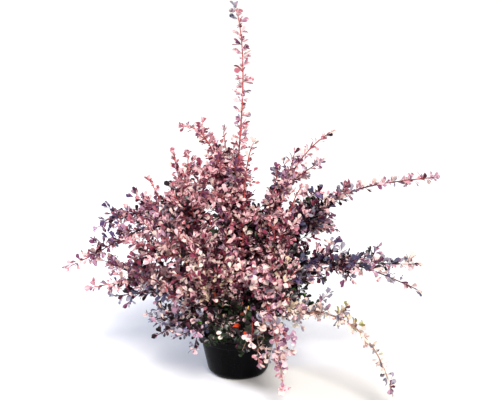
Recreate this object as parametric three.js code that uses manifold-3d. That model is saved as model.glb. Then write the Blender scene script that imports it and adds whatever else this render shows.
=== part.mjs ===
// A Japanese barberry with rose-mottled leaves, about a metre tall and wide, in a round black nursery pot.
// Sizes are in millimetres. X points to the viewer's right, Y away from the viewer and Z up, and the origin
// is the middle of the pot's flat underside.
import * as THREE from "three";
import { mergeVertices } from "three/addons/utils/BufferGeometryUtils.js";
import Module from "manifold-3d";

const wasm = await Module();
wasm.setup();

const clearance = 0.3;
const shortestEdge = 0.02;
const upward = new THREE.Vector3(0, 0, 1);

const pot = {
  height: 112,
  rimRadius: 100,
  lip: 1,
  bandHeight: 19,
  bandStep: 2.5,
  wallTopRadius: 96,
  wallSlope: 12,
  flatRadius: 60,
  cornerRadius: 20,
  cornerSteps: 3,
  thickness: 2,
  floor: 3,
  sides: 28,
};

const soil = {
  top: 98,
  levelRadius: 55,
  edgeDrop: 4,
};

// The stool is the short woody foot. Its canes leave the dome at its top square to the surface.
const stool = {
  flareRadius: 44,
  shoulderRadius: 40,
  shoulderHeight: 2,
  waistRadius: 36,
  waistHeight: 5,
  domeRadius: 38,
  domeHeight: 17,
  domeFrom: -10,
  domeSteps: 7,
  lobes: 5,
  lobeDepth: 0.12,
  lobeHeight: 9,
  sides: 20,
};
const domeCentre = new THREE.Vector3(0, 0, soil.top + clearance + stool.domeHeight);

// A cane leaves the stool on the heading from and arches over to heading. Headings are degrees round the pot:
// 0 is right, 90 back, 180 left and 270 front. low, high and tip are each a distance out from the pot's axis
// and a height above the floor: the curve is led by low and high, and ends at tip. A fork leaves its cane at a
// part of the curve and ends at a tip of its own. twiggy is the part of the foliage that has side twigs, and
// small the size of its leaves. The arching canes start with a bare bough.
const archingCanes = [
  { name: "leader", from: 200, heading: 0, low: [45, 420], high: [55, 760], tip: [-7, 963], twiggy: 0.3, small: 0.7 },
  { name: "upright_front", from: 297, heading: 318, low: [50, 350], high: [5, 560], tip: [60, 626],
    twiggy: 0.4 },
  { name: "upright_left", from: 60, heading: 132, low: [55, 375], high: [48, 560], tip: [54, 642],
    forks: [{ at: 0.6, heading: 225, tip: [85, 585] }, { at: 0.35, heading: 233, tip: [113, 513] }] },
  { name: "upper_left", from: 105, heading: 168, low: [95, 400], high: [35, 670], tip: [150, 645], twiggy: 0.9,
    forks: [{ at: 0.42, heading: 213, tip: [110, 560] }] },
  { name: "left_rise", from: 220, heading: 180, low: [80, 315], high: [135, 400], tip: [164, 605],
    forks: [{ at: 0.5, heading: 203, tip: [131, 617] }] },
  { name: "left_fan", from: 145, heading: 168, low: [130, 280], high: [180, 400], tip: [235, 512],
    forks: [{ at: 0.6, heading: 163, tip: [279, 430] }] },
  { name: "left_high", from: 160, heading: 171, low: [150, 470], high: [190, 440], tip: [371, 385],
    forks: [{ at: 0.6, heading: 164, tip: [408, 345] }] },
  { name: "left_arch", from: 190, heading: 188, low: [190, 540], high: [225, 380], tip: [452, 295], twiggy: 0.9 },
  { name: "left_level", from: 178, heading: 183, low: [150, 295], high: [200, 260], tip: [404, 231],
    forks: [{ at: 0.55, heading: 174, tip: [373, 301] }] },
  { name: "left_low", from: 205, heading: 197, low: [140, 270], high: [220, 235], tip: [342, 238] },
  { name: "left_front", from: 218, heading: 218, low: [120, 185], high: [170, 180], tip: [274, 150],
    forks: [{ at: 0.5, heading: 206, tip: [276, 202] }] },
  { name: "upper_right", from: 320, heading: 13, low: [75, 320], high: [95, 560], tip: [258, 633], twiggy: 0.5,
    forks: [{ at: 0.55, heading: 345, tip: [231, 584] }, { at: 0.62, heading: 0, tip: [147, 605] },
      { at: 0.38, heading: 350, tip: [105, 570] }] },
  { name: "right_high", from: 10, heading: 4, low: [180, 520], high: [330, 490], tip: [519, 515],
    twiggy: 0.45, small: 0.85 },
  { name: "right_back", from: 27, heading: 24, low: [150, 310], high: [180, 420], tip: [289, 443],
    forks: [{ at: 0.55, heading: 30, tip: [323, 325] }] },
  { name: "right_arch", from: 350, heading: 353, low: [190, 380], high: [300, 310], tip: [484, 231], twiggy: 0.45,
    forks: [{ at: 0.5, heading: 10, tip: [503, 262] }, { at: 0.45, heading: 340, tip: [320, 264] }] },
  { name: "right_front", from: 322, heading: 321, low: [170, 205], high: [400, 320], tip: [482, 50], twiggy: 0.4,
    forks: [{ at: 0.55, heading: 327, tip: [331, 268] }] },
  { name: "front_right", from: 285, heading: 291, low: [115, 375], high: [235, 290], tip: [321, 50] },
  { name: "front_droop", from: 290, heading: 283, low: [150, 295], high: [200, 260], tip: [240, 85] },
  { name: "back_high", from: 74, heading: 92, low: [140, 430], high: [220, 520], tip: [400, 480] },
  { name: "back_right", from: 57, heading: 55, low: [190, 340], high: [270, 390], tip: [430, 290] },
  { name: "back", from: 98, heading: 100, low: [170, 220], high: [280, 300], tip: [400, 170] },
  { name: "back_left", from: 118, heading: 132, low: [180, 330], high: [260, 360], tip: [390, 270] },
];

// The inner canes are shorter and leafy from the stool on. They fill the middle of the crown.
const innerCanes = [
  { name: "inner_left", from: 250, heading: 205, low: [75, 285], high: [110, 360], tip: [170, 400],
    forks: [{ at: 0.5, heading: 193, tip: [277, 350] }] },
  { name: "inner_right", from: 45, heading: 30, low: [80, 295], high: [70, 400], tip: [120, 470] },
  { name: "inner_back", from: 92, heading: 70, low: [90, 215], high: [110, 330], tip: [170, 390] },
  { name: "front_middle", from: 262, heading: 262, low: [110, 235], high: [130, 330], tip: [190, 330] },
  { name: "front_left", from: 233, heading: 235, low: [130, 260], high: [160, 330], tip: [230, 320] },
  { name: "front_right_high", from: 330, heading: 328, low: [120, 240], high: [120, 430], tip: [190, 529] },
  { name: "front_right_middle", from: 308, heading: 306, low: [120, 215], high: [160, 300], tip: [230, 300] },
  { name: "front_low", from: 272, heading: 265, low: [130, 190], high: [170, 230], tip: [205, 170] },
  { name: "front_left_low", from: 246, heading: 241, low: [150, 200], high: [190, 230], tip: [227, 110] },
  { name: "right_low", from: 348, heading: 342, low: [130, 185], high: [180, 230], tip: [240, 190] },
  { name: "left_back_low", from: 153, heading: 153, low: [150, 200], high: [200, 250], tip: [270, 200] },
  { name: "right_back_low", from: 40, heading: 35, low: [140, 190], high: [210, 250], tip: [290, 190] },
];

const cane = {
  boughPart: 0.24,
  footRadius: 1.6,
  footRadiusPerLength: 0.003,
  tipRadius: 0.9,
  boughSides: 5,
  twigSides: 3,
  step: 54,
  forkSwing: 0.35,
  forkRadiusPart: 0.8,
};

// Side twigs branch by rule from each stem and fork, to its two sides in turn. turnLeast and turnMost say how
// far each is turned round the stem from straight up.
const side = {
  first: 22,
  spacing: 68,
  opening: 46,
  turnLeast: 30,
  turnMost: 80,
  longest: 74,
  shortest: 36,
  lift: 0.3,
  radius: 1.3,
  tipRadius: 0.8,
  twiggyPart: 0.75,
};

// Leaves stand on every stem, fork and side twig, and one ends each of them. Each is larger than life and
// stands for a tuft of leaves.
const leaf = {
  spacing: 31,
  length: 40,
  lengthChange: 5,
  widthPart: 0.58,
  thickness: 1.8,
  widestAt: 0.62,
  thickestAt: 0.25,
  cup: 0.12,
  sunk: 0.25,
  opening: 56,
  openingChange: 12,
  turn: 137.5,
};

// A leaf or twig keeps this far inside its own cane's space, and off every limb, the pot and the floor.
const spaceMargin = 1.6;
const floorMargin = 14;
const potMargin = 8;

function radians(degrees) {
  return degrees * Math.PI / 180;
}

// A seeded run of numbers from 0 to 1.
function randomFrom(seed) {
  let state = seed >>> 0;
  return () => {
    state = (state + 0x6d2b79f5) >>> 0;
    let mixed = Math.imul(state ^ (state >>> 15), state | 1);
    mixed ^= mixed + Math.imul(mixed ^ (mixed >>> 7), mixed | 61);
    return ((mixed ^ (mixed >>> 14)) >>> 0) / 4294967296;
  };
}

function place(heading, [out, height]) {
  const angle = radians(heading);
  return new THREE.Vector3(out * Math.cos(angle), out * Math.sin(angle), height);
}

// A line of points with its direction at each. It tells the place and direction at a distance along it, and
// how far another point is from it. sideways lies level, square to the line's heading.
class Line {
  constructor(points, directions, heading) {
    this.points = points;
    this.directions = directions;
    this.level = place(heading + 90, [1, 0]);
    this.marks = [0];
    for (let i = 1; i < points.length; i += 1) {
      this.marks.push(this.marks[i - 1] + points[i].distanceTo(points[i - 1]));
    }
    this.length = this.marks[points.length - 1];
  }

  at(distance) {
    let i = 1;
    while (i < this.points.length - 1 && this.marks[i] < distance) {
      i += 1;
    }
    const part = (distance - this.marks[i - 1]) / (this.marks[i] - this.marks[i - 1]);
    const point = this.points[i - 1].clone().lerp(this.points[i], part);
    const along = this.directions[i - 1].clone().lerp(this.directions[i], part).normalize();
    return { point, along, ...this.across(along) };
  }

  across(along) {
    const sideways = this.level.clone().addScaledVector(along, -this.level.dot(along)).normalize();
    return { sideways, over: new THREE.Vector3().crossVectors(along, sideways) };
  }

  distanceTo(point) {
    const closest = new THREE.Vector3();
    let nearest = Infinity;
    for (let i = 1; i < this.points.length; i += 1) {
      new THREE.Line3(this.points[i - 1], this.points[i]).closestPointToPoint(point, true, closest);
      nearest = Math.min(nearest, closest.distanceTo(point));
    }
    return nearest;
  }
}

function lineAlong(curve, start, end, heading) {
  const count = Math.max(2, Math.round(curve.getLength() * (end - start) / cane.step));
  const parts = Array.from({ length: count + 1 }, (_, i) => THREE.MathUtils.lerp(start, end, i / count));
  const points = parts.map((part) => curve.getPoint(part));
  const directions = parts.map((part) => curve.getTangent(part));
  return new Line(points, directions, heading);
}

function caneCurve(row) {
  const low = place(row.from, row.low);
  const foot = low.clone().sub(domeCentre).setLength(stool.domeRadius + clearance).add(domeCentre);
  return new THREE.CubicBezierCurve3(foot, low, place(row.heading, row.high), place(row.heading, row.tip));
}

function forkCurve(curve, fork) {
  const start = curve.getPoint(fork.at);
  const end = place(fork.heading, fork.tip);
  const swing = curve.getTangent(fork.at).multiplyScalar(start.distanceTo(end) * cane.forkSwing);
  return new THREE.QuadraticBezierCurve3(start, start.clone().add(swing), end);
}

// The part of a curve at which its stem stops, so that its last leaf reaches the curve's end.
function stemEnd(curve, leafSize) {
  return 1 - leaf.length * leafSize / curve.getLength();
}

// The lines that a cane grows along, with their radii.
function skeleton(row, boughPart) {
  const curve = caneCurve(row);
  const leafSize = row.small ?? 1;
  const footRadius = cane.footRadius + cane.footRadiusPerLength * curve.getLength();
  const radiusAt = (part) => THREE.MathUtils.lerp(footRadius, cane.tipRadius, part);
  const bough = boughPart > 0 ? lineAlong(curve, 0, boughPart, row.heading) : null;
  const stem = lineAlong(curve, boughPart, stemEnd(curve, leafSize), row.heading);
  if (bough) {
    stem.points[0].addScaledVector(stem.directions[0], clearance);
  }
  const bearers = [{ line: stem, radius: radiusAt(boughPart) }];
  for (const fork of row.forks ?? []) {
    const forked = forkCurve(curve, fork);
    const line = lineAlong(forked, 0, stemEnd(forked, leafSize), fork.heading);
    bearers.push({ line, radius: radiusAt(fork.at) * cane.forkRadiusPart });
  }
  const lines = bearers.map((bearer) => bearer.line);
  if (bough) {
    lines.push(bough);
  }
  return { row, leafSize, footRadius, bough, boughEndRadius: radiusAt(boughPart), bearers, lines };
}

function closedSolid(geometry) {
  geometry.deleteAttribute("normal");
  geometry.deleteAttribute("uv");
  const merged = mergeVertices(geometry);
  const mesh = new wasm.Mesh({
    numProp: 3,
    vertProperties: merged.attributes.position.array,
    triVerts: new Uint32Array(merged.index.array),
  });
  return new wasm.Manifold(mesh);
}

function geometryOf(solid) {
  const mesh = solid.getMesh();
  const geometry = new THREE.BufferGeometry();
  geometry.setAttribute("position", new THREE.BufferAttribute(new Float32Array(mesh.vertProperties), 3));
  geometry.setIndex(new THREE.BufferAttribute(new Uint32Array(mesh.triVerts), 1));
  return geometry;
}

// A tapering limb: a cone's rings set square to a line.
function limb(line, startRadius, endRadius, sides) {
  const steps = line.points.length - 1;
  const geometry = new THREE.CylinderGeometry(endRadius, startRadius, steps, sides, steps);
  const position = geometry.attributes.position;
  for (let i = 0; i < position.count; i += 1) {
    const ring = Math.round(position.getY(i) + steps / 2);
    const { sideways, over } = line.across(line.directions[ring]);
    const point = line.points[ring].clone()
      .addScaledVector(sideways, position.getZ(i))
      .addScaledVector(over, position.getX(i));
    position.setXYZ(i, point.x, point.y, point.z);
  }
  return geometry;
}

// A spoon-shaped leaf of eight faces, widest beyond its middle and a little cupped.
function leafGeometry({ root, along, face, length }) {
  const geometry = new THREE.OctahedronGeometry(1);
  const across = new THREE.Vector3().crossVectors(face, along);
  const width = length * leaf.widthPart;
  const position = geometry.attributes.position;
  for (let i = 0; i < position.count; i += 1) {
    const x = Math.round(position.getX(i));
    const y = Math.round(position.getY(i));
    const z = Math.round(position.getZ(i));
    const edge = Math.abs(y);
    const reach = x > 0 ? 1 : leaf.widestAt * edge + leaf.thickestAt * Math.abs(z);
    const point = root.clone()
      .addScaledVector(along, reach * length)
      .addScaledVector(across, y * width / 2)
      .addScaledVector(face, z * leaf.thickness / 2 + edge * leaf.cup * width);
    position.setXYZ(i, point.x, point.y, point.z);
  }
  return geometry;
}

function leafCorners({ root, along, face, length }) {
  const across = new THREE.Vector3().crossVectors(face, along).multiplyScalar(length * leaf.widthPart / 2);
  const widest = root.clone().addScaledVector(along, leaf.widestAt * length);
  return [
    root.clone().addScaledVector(along, leaf.thickestAt * length),
    widest,
    widest.clone().add(across),
    widest.clone().sub(across),
    root.clone().addScaledVector(along, length),
  ];
}

// Whether points keep to a cane's own space: nearer to its own lines than to any other cane's.
function keepsSpace(points, own, all) {
  return points.every((point) => {
    const overPot = point.z > pot.height + potMargin || Math.hypot(point.x, point.y) > pot.rimRadius + potMargin;
    const overStool = point.distanceTo(domeCentre) > stool.domeRadius + potMargin;
    const offBough = !own.bough || own.bough.distanceTo(point) > own.boughEndRadius + spaceMargin;
    if (point.z < floorMargin || !overPot || !overStool || !offBough) {
      return false;
    }
    const home = Math.min(...own.lines.map((line) => line.distanceTo(point)));
    return all.every((other) => {
      const limit = home + spaceMargin + other.footRadius / 2;
      return other === own || other.lines.every((line) => line.distanceTo(point) > limit);
    });
  });
}

// The direction that opens from a spot's own by one angle, turned round it by another.
function opened({ along, sideways, over }, opening, turn) {
  const outward = sideways.clone().multiplyScalar(Math.cos(turn)).addScaledVector(over, Math.sin(turn));
  return along.clone().multiplyScalar(Math.cos(opening)).addScaledVector(outward, Math.sin(opening));
}

function leafAt(spot, turn, size, random) {
  const opening = radians(leaf.opening + leaf.openingChange * (2 * random() - 1));
  const along = opened(spot, opening, turn);
  return {
    root: spot.point.clone().addScaledVector(along, -leaf.sunk),
    along,
    face: opened(spot, opening - Math.PI / 2, turn),
    length: (leaf.length + leaf.lengthChange * (2 * random() - 1)) * size,
  };
}

function leavesAlong(line, size, random) {
  const leaves = [];
  let turn = random() * 2 * Math.PI;
  for (let distance = leaf.spacing / 2; distance < line.length - leaf.spacing / 4; distance += leaf.spacing) {
    leaves.push(leafAt(line.at(distance), turn, size, random));
    turn += radians(leaf.turn);
  }
  const { point, along, over } = line.at(line.length);
  leaves.push({
    root: point.clone().addScaledVector(along, -leaf.sunk),
    along,
    face: over,
    length: leaf.length * size,
  });
  return leaves;
}

function sideTwig(line, distance, hand, random) {
  const spot = line.at(distance);
  const length = THREE.MathUtils.lerp(side.longest, side.shortest, distance / line.length);
  const turn = Math.PI / 2 + hand * radians(THREE.MathUtils.lerp(side.turnLeast, side.turnMost, random()));
  const start = opened(spot, radians(side.opening), turn);
  const end = start.clone().addScaledVector(upward, side.lift).normalize();
  const tip = spot.point.clone().addScaledVector(start, length / 2).addScaledVector(end, length / 2);
  const heading = THREE.MathUtils.radToDeg(Math.atan2(start.y, start.x));
  return new Line([spot.point, tip], [start, end], heading);
}

// One mass of foliage: its stem and forks, their side twigs and leaves, joined into one solid.
function foliage(own, all, seed) {
  const random = randomFrom(seed);
  const pieces = [];
  const leaves = [];
  for (const { line, radius } of own.bearers) {
    pieces.push(limb(line, radius, cane.tipRadius, cane.twigSides));
    leaves.push(...leavesAlong(line, own.leafSize, random));
    const twiggyLength = line.length * (own.row.twiggy ?? side.twiggyPart);
    let hand = 1;
    for (let distance = side.first; distance < twiggyLength; distance += side.spacing) {
      const twig = sideTwig(line, distance, hand, random);
      const twigLeaves = leavesAlong(twig, own.leafSize, random);
      if (keepsSpace(twig.points.slice(1), own, all)) {
        pieces.push(limb(twig, side.radius, side.tipRadius, cane.twigSides));
        leaves.push(...twigLeaves);
      }
      hand = -hand;
    }
  }
  const kept = leaves.filter((candidate) => keepsSpace(leafCorners(candidate), own, all));
  pieces.push(...kept.map(leafGeometry));
  const joined = pieces.map(closedSolid).reduce((whole, next) => whole.add(next));
  const bodies = joined.simplify(shortestEdge).decompose();
  bodies.sort((a, b) => b.volume() - a.volume());
  return geometryOf(bodies[0]);
}

function arc(centre, radius, from, to, steps) {
  return Array.from({ length: steps + 1 }, (_, i) => {
    const angle = radians(THREE.MathUtils.lerp(from, to, i / steps));
    return new THREE.Vector2(centre.x + radius * Math.cos(angle), centre.y + radius * Math.sin(angle));
  });
}

function turned(profile, sides) {
  return new THREE.LatheGeometry(profile.map(([x, y]) => new THREE.Vector2(x, y)), sides).rotateX(Math.PI / 2);
}

// The rounded edge under the pot's wall, set in from its outside, from the flat underside up.
function potCorner(inset) {
  const centre = new THREE.Vector2(pot.flatRadius, pot.cornerRadius);
  return arc(centre, pot.cornerRadius - inset, -90, -pot.wallSlope, pot.cornerSteps).map(({ x, y }) => [x, y]);
}

const bandFoot = pot.height - pot.bandHeight;

function potGeometry() {
  return turned([
    [0, 0],
    ...potCorner(0),
    [pot.wallTopRadius, bandFoot],
    [pot.wallTopRadius + pot.bandStep, bandFoot + pot.lip],
    [pot.rimRadius, pot.height - pot.lip],
    [pot.rimRadius - pot.lip, pot.height],
    [pot.rimRadius - pot.thickness, pot.height],
    [pot.wallTopRadius - pot.thickness, bandFoot],
    ...potCorner(pot.floor).reverse(),
    [0, pot.floor],
  ], pot.sides);
}

function soilGeometry() {
  const radius = pot.wallTopRadius - pot.thickness - clearance;
  return turned([
    [0, pot.floor + clearance],
    ...potCorner(pot.floor + clearance),
    [radius, bandFoot],
    [radius, soil.top - soil.edgeDrop],
    [soil.levelRadius, soil.top],
    [0, soil.top],
  ], pot.sides);
}

function stoolGeometry() {
  const foot = soil.top + clearance;
  const dome = arc({ x: 0, y: domeCentre.z }, stool.domeRadius, stool.domeFrom, 90, stool.domeSteps);
  const geometry = turned([
    [0, foot],
    [stool.flareRadius, foot],
    [stool.shoulderRadius, foot + stool.shoulderHeight],
    [stool.waistRadius, foot + stool.waistHeight],
    ...dome.slice(0, -1).map(({ x, y }) => [x, y]),
    [0, domeCentre.z + stool.domeRadius],
  ], stool.sides);
  const position = geometry.attributes.position;
  for (let i = 0; i < position.count; i += 1) {
    const fade = THREE.MathUtils.clamp(1 - (position.getZ(i) - foot) / stool.lobeHeight, 0, 1);
    const angle = Math.atan2(position.getY(i), position.getX(i));
    const swell = 1 + fade * stool.lobeDepth * Math.cos(stool.lobes * angle);
    position.setX(i, position.getX(i) * swell);
    position.setY(i, position.getY(i) * swell);
  }
  return geometry;
}

const finishes = {
  pot: { color: 0x0b0c0f, roughness: 0.3, metalness: 0 },
  soil: { color: 0x2a1d14, roughness: 1, metalness: 0 },
  bark: { color: 0x4b2f2a, roughness: 0.85, metalness: 0 },
  leaves: { color: 0x9c4a63, roughness: 0.6, metalness: 0 },
};

function piece(name, geometry, finish) {
  const mesh = new THREE.Mesh(geometry, new THREE.MeshStandardMaterial(finishes[finish]));
  mesh.name = name;
  return mesh;
}

const barberry = new THREE.Group();
barberry.add(piece("pot", potGeometry(), "pot"));
barberry.add(piece("soil", soilGeometry(), "soil"));
barberry.add(piece("stool", stoolGeometry(), "bark"));

const bones = [
  ...archingCanes.map((row) => skeleton(row, cane.boughPart)),
  ...innerCanes.map((row) => skeleton(row, 0)),
];
bones.forEach((bone, index) => {
  const { name } = bone.row;
  if (bone.bough) {
    const bough = limb(bone.bough, bone.footRadius, bone.boughEndRadius, cane.boughSides);
    barberry.add(piece(`bough_${name}`, bough, "bark"));
  }
  barberry.add(piece(`foliage_${name}`, foliage(bone, bones, index + 1), "leaves"));
});

export default barberry;
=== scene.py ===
"""A Japanese barberry with rose-mottled leaves, about a metre tall and wide, in a round black nursery pot.

Sizes are in millimetres, and MM makes them metres. The canes and the rule for their side twigs are the solid
model's. Here they are carried on to finer twigs, spines and leaves.
"""
import random
from bisect import bisect_left
from math import atan2, cos, degrees, exp, hypot, pi, radians, sin, sqrt
from types import SimpleNamespace as Named
from typing import NamedTuple

import bpy
import numpy as np
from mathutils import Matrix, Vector, noise


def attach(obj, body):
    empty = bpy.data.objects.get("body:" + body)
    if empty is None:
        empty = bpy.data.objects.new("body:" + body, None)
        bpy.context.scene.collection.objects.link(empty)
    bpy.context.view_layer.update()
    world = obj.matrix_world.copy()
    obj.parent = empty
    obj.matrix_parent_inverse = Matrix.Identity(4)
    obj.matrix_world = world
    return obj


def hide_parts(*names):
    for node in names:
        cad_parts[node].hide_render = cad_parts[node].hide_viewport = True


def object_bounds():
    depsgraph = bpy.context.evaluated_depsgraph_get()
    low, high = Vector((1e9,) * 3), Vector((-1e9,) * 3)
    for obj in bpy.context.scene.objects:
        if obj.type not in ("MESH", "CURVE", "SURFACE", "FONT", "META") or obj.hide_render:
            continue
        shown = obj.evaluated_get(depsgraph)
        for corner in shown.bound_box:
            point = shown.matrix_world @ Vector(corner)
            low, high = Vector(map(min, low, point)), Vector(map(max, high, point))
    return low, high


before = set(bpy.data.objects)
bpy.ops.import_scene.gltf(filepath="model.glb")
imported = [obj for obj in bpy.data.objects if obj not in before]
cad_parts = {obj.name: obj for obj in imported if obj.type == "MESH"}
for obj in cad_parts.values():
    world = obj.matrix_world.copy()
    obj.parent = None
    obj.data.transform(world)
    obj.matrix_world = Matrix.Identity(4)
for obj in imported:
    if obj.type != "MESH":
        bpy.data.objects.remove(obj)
cad_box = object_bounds()

MM = 0.001
UP = Vector((0, 0, 1))
GOLDEN_TURN = radians(137.5)

# Where the camera looks, from how far and how steeply down, its lens and how far it sees.
camera = Named(target=(31.6, 0, 462), distance=3200, elevation=15, lens=90.86, sensor_width=36, furthest=1e5)

pot = Named(
    height=112, rim_radius=100, band_height=19, band_step=2.5, wall_top_radius=96, wall_slope=12,
    flat_radius=60, corner_radius=20, thickness=2, floor=3, sides=128, corner_steps=9,
)
band_foot = pot.height - pot.band_height
# The rolled lip, then bends as offsets out and up: from the wall's top, the band's foot and the inner rim.
lip = Named(inset=1.2, foot=4.5, drop=2, radius=1.6, start=-60, end=100, steps=5)
under_band = ((-0.7, -3), (-0.1, -0.6), (0.8, 0))
band_edge = ((-0.5, 0.4), (0, 1.2))
inside_lip = ((-0.6, -1.2), (-0.8, -3))

# coarse and fine are the spans of the soil's relief. Lumps lie on it.
soil = Named(
    top=98, level_radius=55, edge_drop=4, gap=0.3, sides=96, rings=26, relief=2.2, coarse=11, fine=3.5,
    sink=1,
)
lumps = Named(
    seed=5, count=420, nearest=0.05, furthest=0.92, smallest=0.8, largest=2.6, sink=0.4,
    stretch=((0.7, 1.5), (0.7, 1.3), (0.5, 0.9)), sides=6, side_steps=2, side_angle=50,
)

stool = Named(
    flare_radius=44, shoulder_radius=40, shoulder_height=2, waist_radius=36, waist_height=5, dome_radius=38,
    dome_height=17, dome_from=-10, dome_steps=22, lobes=5, lobe_depth=0.12, lobe_height=9, sides=84,
)
# Bark has ridges and grain. A bough is rooted in the stool, flared at its foot and swollen at its nodes.
stool_bark = Named(relief=1.5, ridges=6, ridge_length=16, grain=17, grain_length=6)
bough_bark = Named(
    sides=12, step=3, root=2.5, flare=0.45, flare_length=7, node=0.12, node_spacing=24, node_width=8,
    relief=0.22, ridges=2.2, ridge_length=22,
)
# How strong a finer relief is beside the coarser one.
fine_part = 0.5
clearance = 0.3
dome_centre = Vector((0, 0, soil.top + clearance + stool.dome_height))


class Fork(NamedTuple):
    """A fork leaves its cane at a part of the way, and its tip is on its own heading."""
    at: float
    heading: float
    tip: tuple


class Cane(NamedTuple):
    """A cane leaves the stool on the heading launch and arches over to heading.

    Headings are degrees round the pot: 0 is right, 90 back, 180 left and 270 front. low, high and tip are
    each a distance out from the pot's axis and a height above the floor. look names its colours, inner and
    outer, habit says how its leaves stand, and bushy how long its laterals are. Side twigs go as far along
    the foliage as twiggy says, and small is the size of the solid model's leaves.
    """
    name: str
    launch: float
    heading: float
    low: tuple
    high: tuple
    tip: tuple
    look: tuple
    habit: str = "full"
    bushy: float = 1.0
    forks: tuple = ()
    twiggy: float = 0.75
    small: float = 1.0


arching_canes = [
    Cane("leader", 200, 0, (45, 420), (55, 760), (-7, 963), ("rosy", "spire"), "spire", 0.2,
         twiggy=0.3, small=0.7),
    Cane("upright_front", 297, 318, (50, 350), (5, 560), (60, 626), ("rosy", "crimson"), "open", 0.2,
         twiggy=0.4),
    Cane("upright_left", 60, 132, (55, 375), (48, 560), (54, 642), ("rosy", "crimson"), "open", 0.5,
         (Fork(0.6, 225, (85, 585)), Fork(0.35, 233, (113, 513)))),
    Cane("upper_left", 105, 168, (95, 400), (35, 670), (150, 645), ("rosy", "crimson"), "sprig", 0.5,
         (Fork(0.42, 213, (110, 560)),), twiggy=0.9),
    Cane("left_rise", 220, 180, (80, 315), (135, 400), (164, 605), ("rosy", "crimson"), "sprig", 0.6,
         (Fork(0.5, 203, (131, 617)),)),
    Cane("left_fan", 145, 168, (130, 280), (180, 400), (235, 512), ("rosy", "crimson"), "sprig", 0.2,
         (Fork(0.6, 163, (279, 430)),)),
    Cane("left_high", 160, 171, (150, 470), (190, 440), (371, 385), ("rosy", "plum"), "arm", 0.15,
         (Fork(0.6, 164, (408, 345)),)),
    Cane("left_arch", 190, 188, (190, 540), (225, 380), (452, 295), ("dusty", "plum"), "arm", 0.5,
         twiggy=0.9),
    Cane("left_level", 178, 183, (150, 295), (200, 260), (404, 231), ("rosy", "dusty"), "arm", 0.25,
         (Fork(0.55, 174, (373, 301)),)),
    Cane("left_low", 205, 197, (140, 270), (220, 235), (342, 238), ("rosy", "dusk"), "arm", 0.15),
    Cane("left_front", 218, 218, (120, 185), (170, 180), (274, 150), ("bright", "dusk"), "open", 0.25,
         (Fork(0.5, 206, (276, 202)),)),
    Cane("upper_right", 320, 13, (75, 320), (95, 560), (258, 633), ("crimson", "dusty"), "open", 0.2,
         (Fork(0.55, 345, (231, 584)), Fork(0.62, 0, (147, 605)), Fork(0.38, 350, (105, 570))), twiggy=0.5),
    Cane("right_high", 10, 4, (180, 520), (330, 490), (519, 515), ("dusk", "faded"), "arm", 0.25,
         twiggy=0.45, small=0.85),
    Cane("right_back", 27, 24, (150, 310), (180, 420), (289, 443), ("dusk", "faded"), "arm", 0.7,
         (Fork(0.55, 30, (323, 325)),)),
    Cane("right_arch", 350, 353, (190, 380), (300, 310), (484, 231), ("dusk", "grey"), "arm", 0.3,
         (Fork(0.5, 10, (503, 262)), Fork(0.45, 340, (320, 264))), twiggy=0.45),
    Cane("right_front", 322, 321, (170, 205), (400, 320), (482, 50), ("straw", "straw"), "broad", 0.25,
         (Fork(0.55, 327, (331, 268)),), twiggy=0.4),
    Cane("front_right", 285, 291, (115, 375), (235, 290), (321, 50), ("rosy", "shell"), "broad", 0.8),
    Cane("front_droop", 290, 283, (150, 295), (200, 260), (240, 85), ("shade", "shell"), "broad", 1.1),
    Cane("back_high", 74, 92, (140, 430), (220, 520), (400, 480), ("violet", "plum"), bushy=0.3),
    Cane("back_right", 57, 55, (190, 340), (270, 390), (430, 290), ("violet", "rosy"), "arm", 0.9),
    Cane("back", 98, 100, (170, 220), (280, 300), (400, 170), ("plum", "rosy")),
    Cane("back_left", 118, 132, (180, 330), (260, 360), (390, 270), ("violet", "plum"), bushy=1.5),
]

# Inner canes are shorter, leafy from the stool on, and fill the middle of the crown.
inner_canes = [
    Cane("inner_left", 250, 205, (75, 285), (110, 360), (170, 400), ("rosy", "rosy"), "arm", 1.1,
         (Fork(0.5, 193, (277, 350)),)),
    Cane("inner_right", 45, 30, (80, 295), (70, 400), (120, 470), ("violet", "rosy"), bushy=0.7),
    Cane("inner_back", 92, 70, (90, 215), (110, 330), (170, 390), ("violet", "plum"), bushy=1.4),
    Cane("front_middle", 262, 262, (110, 235), (130, 330), (190, 330), ("bright", "bright")),
    Cane("front_left", 233, 235, (130, 260), (160, 330), (230, 320), ("bright", "bright")),
    Cane("front_right_high", 330, 328, (120, 240), (120, 430), (190, 529), ("bright", "rosy"), bushy=0.6),
    Cane("front_right_middle", 308, 306, (120, 215), (160, 300), (230, 300), ("bright", "bright")),
    Cane("front_low", 272, 265, (130, 190), (170, 230), (205, 170), ("under", "shade")),
    Cane("front_left_low", 246, 241, (150, 200), (190, 230), (227, 110), ("bright", "dusk"), "open", 1.1),
    Cane("right_low", 348, 342, (130, 185), (180, 230), (240, 190), ("fern", "fern"), bushy=0.15),
    Cane("left_back_low", 153, 153, (150, 200), (200, 250), (270, 200), ("dusk", "dusk"), "arm", 0.6),
    Cane("right_back_low", 40, 35, (140, 190), (210, 250), (290, 190), ("under", "plum"), "sprig", 0.4),
]

# The solid model's rule for canes and side twigs.
cane = Named(
    bough_part=0.24, foot_radius=1.6, foot_radius_per_length=0.003, tip_radius=0.9, step=54, fork_swing=0.35,
    fork_radius_part=0.8,
)
side = Named(
    first=22, spacing=68, opening=46, turn_least=30, turn_most=80, longest=74, shortest=36, lift=0.3,
    radius=1.3, tip_radius=0.6,
)
solid_leaf = Named(spacing=31, length=40)

# How far a shoot's tip stays off the floor, and off the pot and the stool.
floor_margin = 14
pot_margin = 4

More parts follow.
